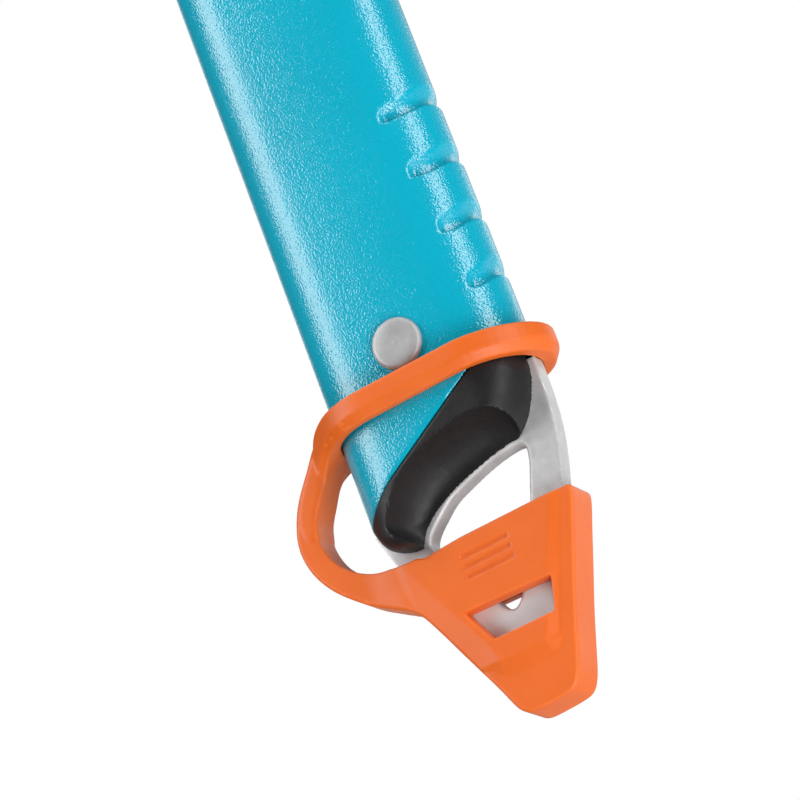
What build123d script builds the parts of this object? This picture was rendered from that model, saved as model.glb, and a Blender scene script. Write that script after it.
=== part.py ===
from build123d import *
import os
from math import sin, cos, radians

# Ice axe: bent oval shaft with a spike and guard below, and a pick and adze on top.
# Millimetres, +Z up the shaft, +X towards the pick, origin at the spike point.
# Of each mirrored pair, the piece named front lies on the -Y side.

# ---------------------------------------------------------------- driving dimensions
SHAFT_A = 32.0          # shaft oval along X
SHAFT_B = 17.0          # shaft oval along Y
WALL = 1.6              # tube wall
INNER_A = SHAFT_A - 2 * WALL
INNER_B = SHAFT_B - 2 * WALL
SHAFT_START = 25.0      # where the sweep starts, below the slanted cut
STRAIGHT_TOP = 437.0    # where the shaft starts to bend forward
BEND_R = 600.0
BEND_DEGREES = 7.0
TOP_RUN = 45.0          # straight run above the bend

FIT = 0.05              # radial clearance of pins in their holes
GAP = 0.02              # between faces laid together
BORE_SLIP = 0.2         # plugs are this much smaller overall than the tube bore
THROUGH = 20.0          # reach of through cuts, each side of the middle plane

RIVET_Z = 52.0          # lower rivet above the spike point
RIVET_R = 2.0
RIVET_HEAD_R = 3.85
RIVET_HEAD_T = 0.9
RIVET_HEAD_BEVEL = 0.25
DRILL_DEPTH = 60.0
PLATE_T = 3.5           # spike plate thickness

HEAD_T = 4.5            # thickness of the pick and adze plates
CHEEK_T = 3.0
CHEEK_NEAR = HEAD_T / 2 + GAP               # inside face of a cheek, from the middle plane
CHEEK_OUT = CHEEK_NEAR + CHEEK_T + GAP      # seat of bolt and rivet heads on a cheek
EYE_R = 8.5             # head eye radius
BOLT_R = 3.0
ADZE_RIVET_R = 2.0
PIN_R = 2.5

# places in the head frame: forward, up
EYE_AT = (-4, 20)
BOLT_AT = (17, 19)
ADZE_RIVET_LOWER_AT = (-29, 12)
ADZE_RIVET_UPPER_AT = (-29, 25)
PIN_UPPER_AT = (0, -14)
PIN_LOWER_AT = (0, -32)

# ---------------------------------------------------------------- frames
bend = radians(BEND_DEGREES)
TOP = (
    BEND_R * (1 - cos(bend)) + TOP_RUN * sin(bend),
    0,
    STRAIGHT_TOP + BEND_R * sin(bend) + TOP_RUN * cos(bend),
)
FORWARD = (cos(bend), 0, -sin(bend))
BACKWARD = (-cos(bend), 0, sin(bend))
UPWARD = (sin(bend), 0, cos(bend))

SIDE = Plane.XZ                                                 # normal towards -Y
HEAD = Plane(origin=TOP, x_dir=FORWARD, z_dir=(0, -1, 0))       # x forward, y up
RIM = Plane(origin=TOP, x_dir=FORWARD, z_dir=UPWARD)            # across the tube's top end
DRILL = Plane(origin=(0, -THROUGH, RIVET_Z), z_dir=(0, -1, 0))  # lower rivet hole


def from_rivet(points):
    """Move (x, height above the lower rivet) points to the frame."""
    return [(x, height + RIVET_Z) for x, height in points]


def cut_height(x):
    """Slanted lower end of the shaft tube, measured from the lower rivet."""
    return min(-12.85 + 0.568 * x, -6.0)


def side_edges(builder, thickness):
    """Edges centred on the two flat sides of a plate."""
    return builder.edges().filter_by(
        lambda edge: abs(abs(edge.center().Y) - thickness / 2) < 0.01
    )


def mirrored(part):
    """The same piece on the other side of the middle plane."""
    with BuildPart() as other:
        add(mirror(part, about=Plane.XZ))
    return other.part


def headed_pin(place, radius, half_length, head_radius, head_t):
    """Pin across the head frame, with a round head on each end."""
    with BuildPart() as pin:
        with BuildSketch(HEAD.offset(-half_length)):
            with Locations(place):
                Circle(radius)
        extrude(amount=2 * half_length)
        with BuildSketch(HEAD.offset(half_length), HEAD.offset(-half_length - head_t)):
            with Locations(place):
                Circle(head_radius)
        extrude(amount=head_t)
    return pin.part


# ---------------------------------------------------------------- shaft tube
CUT_EDGE_X = 20         # the end cut reaches this far each way
CUT_CORNER_X = 12.06    # where the slant turns level
CUT_BOTTOM = -32
END_CUT = [
    (-CUT_EDGE_X, CUT_BOTTOM), (-CUT_EDGE_X, cut_height(-CUT_EDGE_X)),
    (CUT_CORNER_X, cut_height(CUT_CORNER_X)), (CUT_EDGE_X, cut_height(CUT_EDGE_X)),
    (CUT_EDGE_X, CUT_BOTTOM),
]
NOTCH_Z = (56.94, 66.32, 75.88, 85.55)
NOTCH_DEPTH = 0.8
NOTCH_RISE = 4.2        # height over which a notch runs out
NOTCH_RUNOUT = 0.01     # depth left at its upper end
NOTCH_WIDTH = 24        # cutter width along Y

with BuildPart() as shaft_tube:
    with BuildLine(SIDE) as centre:
        low = Line((0, SHAFT_START), (0, STRAIGHT_TOP))
        curve = JernArc(start=low @ 1, tangent=low % 1, radius=BEND_R, arc_size=-BEND_DEGREES)
        Line(curve @ 1, (curve @ 1) + (curve % 1) * TOP_RUN)
    with BuildSketch(Plane.XY.offset(SHAFT_START)):
        SlotOverall(SHAFT_A, SHAFT_B)
        SlotOverall(INNER_A, INNER_B, mode=Mode.SUBTRACT)
    sweep(path=centre.line)
    # slanted lower end
    with BuildSketch(SIDE):
        with BuildLine():
            Polyline(*from_rivet(END_CUT), close=True)
        make_face()
    extrude(amount=THROUGH, both=True, mode=Mode.SUBTRACT)
    # notches on the +X edge: sharp lower lip, running out upward
    for notch_z in NOTCH_Z:
        with BuildSketch(Plane.XY.offset(notch_z)):
            with Locations((14.5, 0)):
                Rectangle(8, NOTCH_WIDTH)
            SlotOverall(SHAFT_A - 2 * NOTCH_DEPTH, SHAFT_B - 2 * NOTCH_DEPTH, mode=Mode.SUBTRACT)
        with BuildSketch(Plane.XY.offset(notch_z + NOTCH_RISE)):
            with Locations((16.5, 0)):
                Rectangle(4, NOTCH_WIDTH)
            SlotOverall(SHAFT_A - 2 * NOTCH_RUNOUT, SHAFT_B - 2 * NOTCH_RUNOUT, mode=Mode.SUBTRACT)
        loft(mode=Mode.SUBTRACT)
    # lower rivet hole
    with Locations(DRILL):
        Hole(RIVET_R + FIT, depth=DRILL_DEPTH)
    # two head pin holes
    with BuildSketch(HEAD):
        with Locations(PIN_UPPER_AT, PIN_LOWER_AT):
            Circle(PIN_R + FIT)
    extrude(amount=THROUGH, both=True, mode=Mode.SUBTRACT)

# ---------------------------------------------------------------- spike plate
# outlines: x, height above the lower rivet
SPIKE = [
    (-11.0, 13.0), (-11.0, -19.4), (-15.95, -22.2), (-15.3, -24.1), (-14.9, -25.4),
    (-14.2, -27.7), (-12.9, -31.0), (-11.3, -34.5), (-9.1, -39.5), (-7.2, -43.5),
    (-5.2, -47.3), (-3.0, -50.5), (-1.4, -51.7), (0.0, -52.0), (1.5, -51.6), (3.4, -50.2),
    (5.6, -47.1), (7.6, -42.9), (9.8, -37.4), (11.9, -32.0), (13.3, -27.1), (14.8, -23.1),
    (15.7, -20.35), (15.95, -17.5), (15.95, -8.5), (11.0, -8.5), (11.0, 13.0),
]
SPIKE_EYE = [
    (-8.3, -27.3), (-8.04, -26.2), (-5.6, -23.9), (-3.25, -22.1), (-0.3, -21.1), (2.5, -20.2),
    (5.3, -19.55), (7.9, -19.25), (9.0, -19.3), (9.7, -19.7), (10.0, -20.3), (9.9, -21.0),
    (9.7, -22.15), (8.7, -24.8), (7.6, -27.8), (1.7, -39.3), (0.9, -40.3), (-0.2, -40.9),
    (-1.2, -40.2), (-2.0, -39.1),
]
BLADE_TOP = -20         # edges centred below this are broken
BLADE_BEVEL = 0.3

with BuildPart() as spike_plate:
    with BuildSketch(SIDE):
        with BuildLine():
            Polyline(*from_rivet(SPIKE), close=True)
        make_face()
    extrude(amount=PLATE_T / 2, both=True)
    with BuildSketch(SIDE):
        with BuildLine():
            Polyline(*from_rivet(SPIKE_EYE), close=True)
        make_face()
    extrude(amount=PLATE_T, both=True, mode=Mode.SUBTRACT)
    with Locations(DRILL):
        Hole(RIVET_R + FIT, depth=DRILL_DEPTH)
    # broken edges round the exposed blade
    blade_edges = [
        edge for edge in side_edges(spike_plate, PLATE_T)
        if edge.center().Z < RIVET_Z + BLADE_TOP
    ]
    chamfer(blade_edges, BLADE_BEVEL)

# ---------------------------------------------------------------- end plug halves
# x, height above the lower rivet: the lobe's outline against the plate and at its
# flat outside, matched point for point
LOBE_NEAR = [
    (-17, -22.6), (-15.3, -22.9), (-14.7, -23.4), (-13.8, -24.6), (-12.7, -25.6),
    (-11.6, -26.3), (-10.3, -26.8), (-9.3, -26.7), (-8.7, -25.4), (-7.4, -24.1),
    (-5.1, -22.5), (-3.0, -21.6), (-1.1, -20.8), (2.7, -19.8), (6.3, -19.0), (9.6, -18.7),
    (11.6, -17.35), (13.45, -15.7), (15.1, -14.0), (17, -12.0), (17, -6.1), (12, -6.1),
]
LOBE_FAR = [
    (-17, -22.58), (-15.3, -22.8), (-14.7, -23.2), (-14.0, -23.9), (-13.4, -24.1),
    (-12.9, -23.9), (-12.3, -23.3), (-11.5, -22.6), (-10.6, -21.4), (-9.2, -19.65),
    (-7.57, -18.06), (-5.53, -16.68), (-3.45, -15.63), (-0.5, -14.75), (3.05, -13.92),
    (6.8, -13.7), (10.16, -14.71), (12.6, -14.6), (14.6, -13.4), (17, -11.9), (17, -6.1),
    (12, -6.1),
]
SPIGOT_X = 14.2
SPIGOT = [
    (-SPIGOT_X, cut_height(-SPIGOT_X) - 2.5), (-SPIGOT_X, 14.0), (SPIGOT_X, 14.0),
    (SPIGOT_X, -8.8), (10, -10.0),
]
PLUG_NEAR = PLATE_T / 2 + GAP       # inside face, from the middle plane
LOBE_OUT = SHAFT_B / 2 + 0.3        # loft end, just outside the shaft
SPIGOT_T = 8
TRIM_Z = 10                         # the ovals that trim the plug start here
TRIM_HEIGHT = 80

with BuildPart() as plug_front:
    # spigot inside the tube
    with BuildSketch(SIDE.offset(PLUG_NEAR)):
        with BuildLine():
            Polyline(*from_rivet(SPIGOT), close=True)
        make_face()
    extrude(amount=SPIGOT_T)
    with BuildSketch(Plane.XY.offset(TRIM_Z)):
        SlotOverall(INNER_A - BORE_SLIP, INNER_B - BORE_SLIP)
    extrude(amount=TRIM_HEIGHT, mode=Mode.INTERSECT)
    # outer lobe, scooped towards the eye
    with BuildSketch(SIDE.offset(PLUG_NEAR)):
        with BuildLine():
            Polyline(*from_rivet(LOBE_NEAR), close=True)
        make_face()
    with BuildSketch(SIDE.offset(LOBE_OUT)):
        with BuildLine():
            Polyline(*from_rivet(LOBE_FAR), close=True)
        make_face()
    loft(ruled=True)
    # trimmed flush with the shaft
    with BuildSketch(Plane.XY.offset(TRIM_Z)):
        SlotOverall(SHAFT_A, SHAFT_B)
    extrude(amount=TRIM_HEIGHT, mode=Mode.INTERSECT)
    with Locations(DRILL):
        Hole(RIVET_R + FIT, depth=DRILL_DEPTH)

# ---------------------------------------------------------------- lower rivet and its ring
RIVET_FRONT = (0, -SHAFT_B / 2, RIVET_Z)
RIVET_BACK = (0, SHAFT_B / 2 + GAP, RIVET_Z)
RIVET_TAIL = 1.0        # shank beyond the shaft

with BuildPart() as spike_rivet:
    with BuildSketch(Plane(origin=RIVET_FRONT, x_dir=(1, 0, 0), z_dir=(0, -1, 0))):
        Circle(RIVET_HEAD_R)
    extrude(amount=RIVET_HEAD_T)
    chamfer(spike_rivet.faces().sort_by(Axis.Y)[0].edges(), RIVET_HEAD_BEVEL)
    with BuildSketch(Plane(origin=RIVET_FRONT, x_dir=(1, 0, 0), z_dir=(0, 1, 0))):
        Circle(RIVET_R)
    extrude(amount=SHAFT_B + RIVET_TAIL)

with BuildPart() as spike_rivet_ring:
    with BuildSketch(Plane(origin=RIVET_BACK, x_dir=(1, 0, 0), z_dir=(0, 1, 0))):
        Circle(RIVET_HEAD_R)
        Circle(RIVET_R + FIT, mode=Mode.SUBTRACT)
    extrude(amount=RIVET_HEAD_T)
    ring_face = spike_rivet_ring.faces().sort_by(Axis.Y)[-1]
    chamfer(ring_face.edges().sort_by(SortBy.LENGTH)[-1], RIVET_HEAD_BEVEL)

# ---------------------------------------------------------------- spike guard, one moulding
# outlines: x, height above the lower rivet
GUARD = [
    (14.2, -28.5), (14.85, -29.1), (13.25, -33.8), (11.3, -39.1), (9.3, -44.3), (7.5, -49.6),
    (6.6, -52.3), (5.95, -53.8), (4.9, -55.15), (3.9, -55.8), (-2.7, -55.9), (-3.65, -55.2),
    (-4.3, -54.4), (-5.6, -51.2), (-7.4, -47.4), (-9.15, -43.65), (-10.9, -39.8),
    (-12.75, -36.0), (-13.2, -34.0), (-13.2, -28.5),
]
STRAP = [
    (-13.0, -4.3), (-16.4, -4.3), (-18.0, -4.6), (-19.2, -5.2), (-20.2, -6.2), (-21.4, -8.0),
    (-22.95, -9.9), (-24.3, -11.5), (-25.4, -13.4), (-26.2, -15.15), (-26.9, -17.3),
    (-27.1, -19.6), (-26.8, -21.65), (-26.1, -23.8), (-24.9, -25.95), (-23.4, -27.85),
    (-21.6, -29.6), (-19.7, -31.3), (-18.5, -32.2), (-15.7, -33.9), (-13.6, -35.1),
    (-11.5, -35.7), (-11.5, -28.6), (-12.6, -28.3), (-14.7, -27.9), (-16.4, -27.6),
    (-18.0, -27.0), (-19.4, -26.2), (-20.7, -25.2), (-21.8, -24.1), (-22.7, -22.85),
    (-23.3, -21.4), (-23.7, -19.6), (-23.7, -18.5), (-23.3, -16.6), (-22.7, -15.3),
    (-21.4, -13.4), (-20.6, -12.2), (-19.7, -11.1), (-18.8, -10.2), (-17.75, -9.2),
    (-16.2, -8.5), (-13.0, -8.45),
]
BLADE_SLOT = [
    (-15.0, -25.0), (-14.5, -27.7), (-13.2, -31.0), (-11.6, -34.5), (-9.4, -39.5),
    (-7.5, -43.6), (-5.5, -47.5), (-3.2, -50.8), (-1.5, -52.0), (0.0, -52.3), (1.6, -51.9),
    (3.6, -50.5), (5.9, -47.3), (7.9, -43.0), (10.1, -37.5), (12.2, -32.1), (13.6, -27.1),
    (14.5, -25.0),
]
WINDOW = [(-6.3, -39.2), (7.4, -39.6), (5.9, -44.5), (-3.6, -44.3)]
GUARD_T = 7.5           # guard pocket thickness
GUARD_BEVEL = 0.8
STRAP_W = 5.9
SLIP = 0.1              # guard clearance on the parts it slides over
COLLAR_BASE = -8.45     # from the lower rivet
COLLAR_HEIGHT = 4.15
COLLAR_HALF_W = 10.9
COLLAR_STRAP_X = -19.4  # where the collar meets the strap
COLLAR_BACK_X = -8.5    # start of its parallel sides
COLLAR_FRONT_X = 8.0    # end of its parallel sides
COLLAR_NOSE_X = 19.0
COLLAR_CUT = 14         # height of the oval cut, ending at the rivet's level

with BuildPart() as spike_guard:
    with BuildSketch(SIDE):
        with BuildLine():
            Polyline(*from_rivet(GUARD), close=True)
        make_face()
    extrude(amount=GUARD_T / 2, both=True)
    chamfer(side_edges(spike_guard, GUARD_T), GUARD_BEVEL)
    # pull strap
    with BuildSketch(SIDE):
        with BuildLine():
            Polyline(*from_rivet(STRAP), close=True)
        make_face()
    extrude(amount=STRAP_W / 2, both=True)
    # collar round the shaft, running out to the strap
    with BuildSketch(Plane.XY.offset(RIVET_Z + COLLAR_BASE)):
        with BuildLine():
            Line((COLLAR_STRAP_X, -STRAP_W / 2), (COLLAR_BACK_X, -COLLAR_HALF_W))
            Line((COLLAR_BACK_X, -COLLAR_HALF_W), (COLLAR_FRONT_X, -COLLAR_HALF_W))
            ThreePointArc(
                (COLLAR_FRONT_X, -COLLAR_HALF_W), (COLLAR_NOSE_X, 0),
                (COLLAR_FRONT_X, COLLAR_HALF_W),
            )
            Line((COLLAR_FRONT_X, COLLAR_HALF_W), (COLLAR_BACK_X, COLLAR_HALF_W))
            Line((COLLAR_BACK_X, COLLAR_HALF_W), (COLLAR_STRAP_X, STRAP_W / 2))
            Line((COLLAR_STRAP_X, STRAP_W / 2), (COLLAR_STRAP_X, -STRAP_W / 2))
        make_face()
    extrude(amount=COLLAR_HEIGHT)
    with BuildSketch(Plane.XY.offset(RIVET_Z - COLLAR_CUT)):
        SlotOverall(SHAFT_A + 2 * SLIP, SHAFT_B + 2 * SLIP)
    extrude(amount=COLLAR_CUT, mode=Mode.SUBTRACT)
    with BuildSketch(SIDE):
        with BuildLine():
            Polyline(*from_rivet(BLADE_SLOT), close=True)
        make_face()
    extrude(amount=PLATE_T / 2 + SLIP, both=True, mode=Mode.SUBTRACT)
    with BuildSketch(SIDE):
        with BuildLine():
            Polyline(*from_rivet(WINDOW), close=True)
        make_face()
    extrude(amount=THROUGH, both=True, mode=Mode.SUBTRACT)

# ---------------------------------------------------------------- head core and seal
CORE_DEPTH = 46         # core below the rim
SEAL_SPACE = 1.0        # from the rim to the core's flange
FLANGE_T = 3.0
FLANGE_BEVEL = 0.8
TANG_SLOT_A = 18.2      # slot for the pick's tang
TANG_SLOT_B = HEAD_T + 0.1
TANG_SLOT_DEPTH = 40
SEAL_SLIP = 0.1         # the seal's hole is this much larger overall than the bore

with BuildPart() as head_core:
    with BuildSketch(RIM.offset(-CORE_DEPTH)):
        SlotOverall(INNER_A - BORE_SLIP, INNER_B - BORE_SLIP)
    extrude(amount=CORE_DEPTH + SEAL_SPACE)
    with BuildSketch(RIM.offset(SEAL_SPACE)):
        SlotOverall(SHAFT_A, SHAFT_B)
    extrude(amount=FLANGE_T)
    chamfer(head_core.faces().sort_by(Axis.Z)[-1].edges(), FLANGE_BEVEL)
    with BuildSketch(RIM.offset(-TANG_SLOT_DEPTH)):
        Rectangle(TANG_SLOT_A, TANG_SLOT_B)
    extrude(amount=TANG_SLOT_DEPTH + 10, mode=Mode.SUBTRACT)
    with BuildSketch(HEAD):
        with Locations(PIN_UPPER_AT, PIN_LOWER_AT):
            Circle(PIN_R + FIT)
    extrude(amount=THROUGH, both=True, mode=Mode.SUBTRACT)

# thin seal between the core's flange and the tube
with BuildPart() as head_seal:
    with BuildSketch(RIM.offset(GAP)):
        SlotOverall(SHAFT_A, SHAFT_B)
        SlotOverall(INNER_A + SEAL_SLIP, INNER_B + SEAL_SLIP, mode=Mode.SUBTRACT)
    extrude(amount=SEAL_SPACE - 2 * GAP)

# ---------------------------------------------------------------- pick
# outlines: forward, up in the head frame
TANG_AND_THROAT = [
    (-22, 4.1), (-9, 4.1), (-9, -39.5), (9, -39.5), (9, 4.1), (24, 5.0), (36, 8.6),
    (48, 11.2), (56, 11.8),
]
PICK_TIP_AND_TOP = [
    (153.0, -12.6), (158.5, -12.3), (148, -2.2), (136, 5.6), (122, 13.0), (106, 19.4),
    (88, 25.0), (68, 29.6), (46, 33.0), (24, 34.8), (0, 35.2), (-22, 33.0),
]
# wedge ground off one side of the tip: forward, distance from the middle plane
TIP_GRIND = [(120, 2.35), (162, 1.1), (162, 4), (120, 4)]
GRIND_TOP = 40
GRIND_HEIGHT = 80
TOOTH_COUNT = 14
TOOTH_PITCH = 6.6
FIRST_TOOTH = 60


def pick_underside(forward):
    """Height of the drooping curve the teeth are set on."""
    return 11.6 - 0.00215 * (forward - 55) ** 2


teeth = []
for i in range(TOOTH_COUNT):
    start = FIRST_TOOTH + i * TOOTH_PITCH
    height = pick_underside(start)
    next_height = pick_underside(start + TOOTH_PITCH)
    teeth += [
        (start, height - 2.6),
        (start + 2.2, height + 0.2),
        (start + 4.6, 0.5 * (height + next_height) + 0.1),
    ]

with BuildPart() as pick:
    with BuildSketch(HEAD):
        with BuildLine():
            Polyline(*TANG_AND_THROAT, *teeth, *PICK_TIP_AND_TOP, close=True)
        make_face()
    extrude(amount=HEAD_T / 2, both=True)
    # tip ground thin from both sides
    with BuildSketch(RIM.offset(GRIND_TOP)):
        with BuildLine():
            Polyline(*TIP_GRIND, close=True)
        make_face()
        mirror(about=Plane.XZ)
    extrude(amount=-GRIND_HEIGHT, mode=Mode.SUBTRACT)
    with BuildSketch(HEAD):
        with Locations(EYE_AT):
            Circle(EYE_R)
        with Locations(BOLT_AT):
            Circle(BOLT_R + FIT)
        with Locations(PIN_UPPER_AT, PIN_LOWER_AT):
            Circle(PIN_R + FIT)
    extrude(amount=THROUGH, both=True, mode=Mode.SUBTRACT)

# ---------------------------------------------------------------- adze
# root plate outline: forward, up in the head frame
ADZE_ROOT = [
    (-22.1, 4.6), (-22.1, 32.8), (-40, 29.0), (-44, 26), (-44, 17), (-40, 11), (-34, 6.5),
]
# blade sections: forward, up, width along Y, thickness
ADZE_SECTIONS = [
    (-41, 21.5, 9.0, 8.6),
    (-50, 20.6, 24.0, 5.6),
    (-64, 16.6, 42.0, 3.8),
    (-88, 4.2, 56.0, 2.2),
]
ADZE_CORNER = 0.3       # corner radius as a share of a section's smaller side

with BuildPart() as adze:
    with BuildSketch(HEAD):
        with BuildLine():
            Polyline(*ADZE_ROOT, close=True)
        make_face()
    extrude(amount=HEAD_T / 2, both=True)
    for forward, up, width, thickness in ADZE_SECTIONS:
        middle = HEAD.origin + HEAD.x_dir * forward + HEAD.y_dir * up
        with BuildSketch(Plane(origin=middle, x_dir=(0, 1, 0), z_dir=BACKWARD)):
            RectangleRounded(width, thickness, min(width, thickness) * ADZE_CORNER)
    loft()
    with BuildSketch(HEAD):
        with Locations(ADZE_RIVET_LOWER_AT, ADZE_RIVET_UPPER_AT):
            Circle(ADZE_RIVET_R + FIT)
    extrude(amount=THROUGH, both=True, mode=Mode.SUBTRACT)

# ---------------------------------------------------------------- head cheeks
# outline: forward, up in the head frame
CHEEK = [
    (-33, 8.2), (-24, 4.4), (22, 4.4), (29, 9.5), (31, 18), (28, 27), (20, 31.6), (0, 32.6),
    (-22, 30.6), (-34, 27.5), (-37, 21), (-36.5, 13),
]
CHEEK_CORNER_R = 2.0
CHEEK_BEVEL = 0.6

with BuildPart() as cheek_front:
    with BuildSketch(HEAD.offset(CHEEK_NEAR)):
        with BuildLine():
            Polyline(*CHEEK, close=True)
        make_face()
        fillet(vertices(), CHEEK_CORNER_R)
        with Locations(EYE_AT):
            Circle(EYE_R, mode=Mode.SUBTRACT)
        with Locations(BOLT_AT):
            Circle(BOLT_R + FIT, mode=Mode.SUBTRACT)
        with Locations(ADZE_RIVET_LOWER_AT, ADZE_RIVET_UPPER_AT):
            Circle(ADZE_RIVET_R + FIT, mode=Mode.SUBTRACT)
    extrude(amount=CHEEK_T)
    chamfer(cheek_front.faces().sort_by(Axis.Y)[0].outer_wire().edges(), CHEEK_BEVEL)

# ---------------------------------------------------------------- head bolt, washer and nut
BOLT_HEAD_R = 5.25
BOLT_HEAD_T = 3.2
BOLT_HEAD_ROUND = 1.6
BOLT_TAIL = 7.0         # shank beyond the back cheek
SOCKET_R = 2.0          # hexagon, middle to flat
SOCKET_DEPTH = 2.0
WASHER_R = 6.0
WASHER_T = 1.2
NUT_R = 5.0             # hexagon, middle to flat
NUT_T = 4.8

with BuildPart() as head_bolt:
    with BuildSketch(HEAD.offset(CHEEK_OUT)):
        with Locations(BOLT_AT):
            Circle(BOLT_HEAD_R)
    extrude(amount=BOLT_HEAD_T)
    fillet(head_bolt.faces().sort_by(Axis.Y)[0].edges(), BOLT_HEAD_ROUND)
    with BuildSketch(HEAD.offset(CHEEK_OUT)):
        with Locations(BOLT_AT):
            Circle(BOLT_R)
    extrude(amount=-(2 * CHEEK_OUT + BOLT_TAIL))
    with BuildSketch(HEAD.offset(CHEEK_OUT + BOLT_HEAD_T)):
        with Locations(BOLT_AT):
            RegularPolygon(SOCKET_R, 6, major_radius=False)
    extrude(amount=-SOCKET_DEPTH, mode=Mode.SUBTRACT)

with BuildPart() as head_washer:
    with BuildSketch(HEAD.offset(-CHEEK_OUT)):
        with Locations(BOLT_AT):
            Circle(WASHER_R)
            Circle(BOLT_R + FIT, mode=Mode.SUBTRACT)
    extrude(amount=-WASHER_T)

with BuildPart() as head_nut:
    with BuildSketch(HEAD.offset(-CHEEK_OUT - WASHER_T - GAP)):
        with Locations(BOLT_AT):
            RegularPolygon(NUT_R, 6, major_radius=False)
            Circle(BOLT_R + FIT, mode=Mode.SUBTRACT)
    extrude(amount=-NUT_T)

# ---------------------------------------------------------------- adze rivets and head pins
# radius, half length, head radius, head thickness
ADZE_RIVET = (ADZE_RIVET_R, CHEEK_OUT, 3.6, 1.2)
HEAD_PIN = (PIN_R, SHAFT_B / 2 + GAP, 4.2, 1.0)

# ---------------------------------------------------------------- export
pieces = {
    "shaft_tube": shaft_tube.part,
    "spike_plate": spike_plate.part,
    "end_plug_front": plug_front.part,
    "end_plug_back": mirrored(plug_front.part),
    "spike_rivet": spike_rivet.part,
    "spike_rivet_ring": spike_rivet_ring.part,
    "spike_guard": spike_guard.part,
    "head_core": head_core.part,
    "head_seal": head_seal.part,
    "pick": pick.part,
    "adze": adze.part,
    "head_cheek_front": cheek_front.part,
    "head_cheek_back": mirrored(cheek_front.part),
    "head_bolt": head_bolt.part,
    "head_washer": head_washer.part,
    "head_nut": head_nut.part,
    "adze_rivet_upper": headed_pin(ADZE_RIVET_UPPER_AT, *ADZE_RIVET),
    "adze_rivet_lower": headed_pin(ADZE_RIVET_LOWER_AT, *ADZE_RIVET),
    "head_pin_upper": headed_pin(PIN_UPPER_AT, *HEAD_PIN),
    "head_pin_lower": headed_pin(PIN_LOWER_AT, *HEAD_PIN),
}
os.makedirs("parts", exist_ok=True)
for name, part in pieces.items():
    part.label = name
    export_step(part, f"parts/{name}.step")
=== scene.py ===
"""Ice axe: a bent teal shaft with a pick and adze head, a spike, and an orange spike guard.

The shaft rises along +Z and bends towards +X near the head. The pick points to +X and the adze
to -X. The front faces look along -Y. Shapes are worked out in mm and scaled to metres on building.
Most pieces are distance fields: functions of x, y, z that are negative inside the piece.
"""
import bpy, math
import numpy as np
from mathutils import Vector, Matrix


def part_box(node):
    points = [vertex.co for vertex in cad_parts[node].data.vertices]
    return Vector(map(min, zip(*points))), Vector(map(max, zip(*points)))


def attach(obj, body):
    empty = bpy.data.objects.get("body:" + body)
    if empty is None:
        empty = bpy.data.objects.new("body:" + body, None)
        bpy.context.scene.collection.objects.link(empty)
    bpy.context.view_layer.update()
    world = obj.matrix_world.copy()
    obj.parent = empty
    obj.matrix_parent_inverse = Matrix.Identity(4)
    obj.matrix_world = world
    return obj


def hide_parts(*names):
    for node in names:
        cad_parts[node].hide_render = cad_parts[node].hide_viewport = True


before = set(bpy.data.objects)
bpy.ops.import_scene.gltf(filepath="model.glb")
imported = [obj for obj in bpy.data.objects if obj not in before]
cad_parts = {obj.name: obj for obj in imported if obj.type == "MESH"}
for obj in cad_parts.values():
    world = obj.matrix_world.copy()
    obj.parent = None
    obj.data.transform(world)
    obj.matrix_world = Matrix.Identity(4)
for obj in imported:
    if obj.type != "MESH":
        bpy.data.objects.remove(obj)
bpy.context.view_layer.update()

MM = 0.001
COARSE = 1.0               # widens every mesh step


# ---------------------------------------------------------------- places and sizes of the CAD
def centre_mm(node):
    low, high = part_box(node)
    return (np.array(low) + np.array(high)) * 500.0


def half_thickness(node):
    low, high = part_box(node)
    return (high[1] - low[1]) * 500.0


# head coordinates: x forward, y sideways, z up from the top of the shaft
HEAD_PIN_Z = {"upper": -14.0, "lower": -32.0}
ADZE_RIVET_X = -29.0
ADZE_RIVET_Z = {"upper": 25.0, "lower": 12.0}
BOLT_X, BOLT_Z = 17.0, 19.0
EYE, EYE_R = (-4.0, 20.0), 8.5                    # round opening through the head

RIVET_Z = centre_mm("spike_rivet")[2]             # lower rivet axis height
UPPER_PIN = centre_mm("head_pin_upper")
LOWER_PIN = centre_mm("head_pin_lower")
UP = (UPPER_PIN - LOWER_PIN) / np.linalg.norm(UPPER_PIN - LOWER_PIN)
UP[1] = 0
UP /= np.linalg.norm(UP)
FORWARD = np.array([UP[2], 0.0, -UP[0]])
TOP = UPPER_PIN - UP * HEAD_PIN_Z["upper"]
TOP[1] = 0.0
TILT = math.atan2(UP[0], UP[2])

SHAFT_LO, SHAFT_HI = [np.array(v) * 1000 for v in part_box("shaft_tube")]
EDGE_R = (SHAFT_HI[1] - SHAFT_LO[1]) / 2          # rounded edges, also half the thickness
FLAT = -SHAFT_LO[0] - EDGE_R                      # half width of the flat faces
WALL = 1.6
BLADE_HALF = half_thickness("spike_plate")
PICK_HALF = half_thickness("pick")
GUARD_HALF = half_thickness("spike_guard")
CHEEK = 3.0                                       # plate thickness
CHEEK_OUT = PICK_HALF + 0.04 + CHEEK              # outer face of the cheeks
PIN_HOLE_R, BOLT_HOLE_R, RIVET_HOLE_R = 2.55, 3.05, 2.05


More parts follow.
